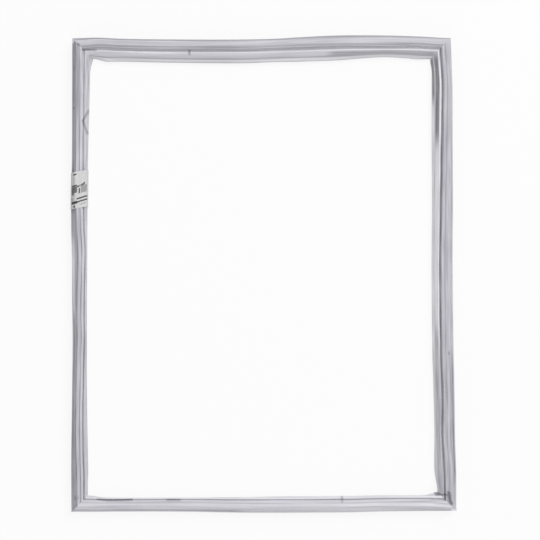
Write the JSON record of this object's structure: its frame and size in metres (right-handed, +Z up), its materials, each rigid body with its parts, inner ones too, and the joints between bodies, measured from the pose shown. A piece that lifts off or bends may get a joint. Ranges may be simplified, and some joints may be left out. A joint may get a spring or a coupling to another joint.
{
  "type": "refrigerator door gasket",
  "caption": "Rectangular welded loop of soft PVC door seal profile with a magnet pocket, air chamber, inner and outer lips, push-in dart and a paper label, lying flat.",
  "frame": {"origin": "on the floor under the middle of the loop, which lies flat on the tips of its dart", "axes": "+Y along the long sides, +X along the short sides, +Z up, the way the magnet side faces"},
  "size_m": [0.566, 0.6996, 0.0219],
  "materials": {
    "pvc": "satin",
    "magnet": "matte",
    "paper": "matte"
  },
  "bodies": {
    "root": {"gasket_frame": "pvc", "magnet_strip_top": "magnet", "magnet_strip_right": "magnet", "magnet_strip_bottom": "magnet", "magnet_strip_left": "magnet", "label_band": "paper"}
  },
  "joints": []
}
